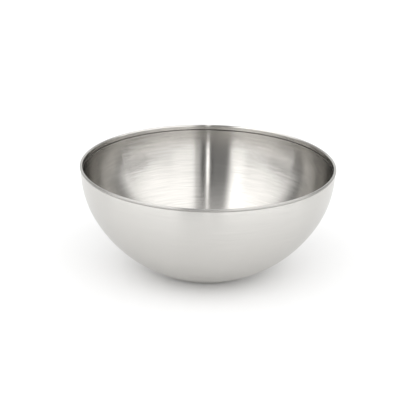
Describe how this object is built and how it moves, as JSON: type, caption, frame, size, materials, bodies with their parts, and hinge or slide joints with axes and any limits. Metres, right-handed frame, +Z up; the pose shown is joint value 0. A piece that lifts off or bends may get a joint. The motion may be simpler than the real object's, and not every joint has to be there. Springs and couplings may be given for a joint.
{
  "type": "serving bowl",
  "caption": "Round double-walled steel serving bowl: an inner bowl held in the folded rim of an outer shell, with a wide open mouth and a flat standing ring.",
  "frame": {"origin": "middle of the ring that the bowl stands on, at table level", "axes": "+Z up along the bowl's axis; X and Y are alike, because the bowl is round"},
  "size_m": [0.282, 0.282, 0.122],
  "materials": {
    "outer_steel": "satin, fine brushing round the axis",
    "inner_steel": "brushed round the axis, brighter than the outside",
    "sealant": "matt"
  },
  "bodies": {
    "root": {"outer_shell": "outer_steel", "inner_bowl": "inner_steel", "rim_seal": "sealant"}
  },
  "joints": []
}
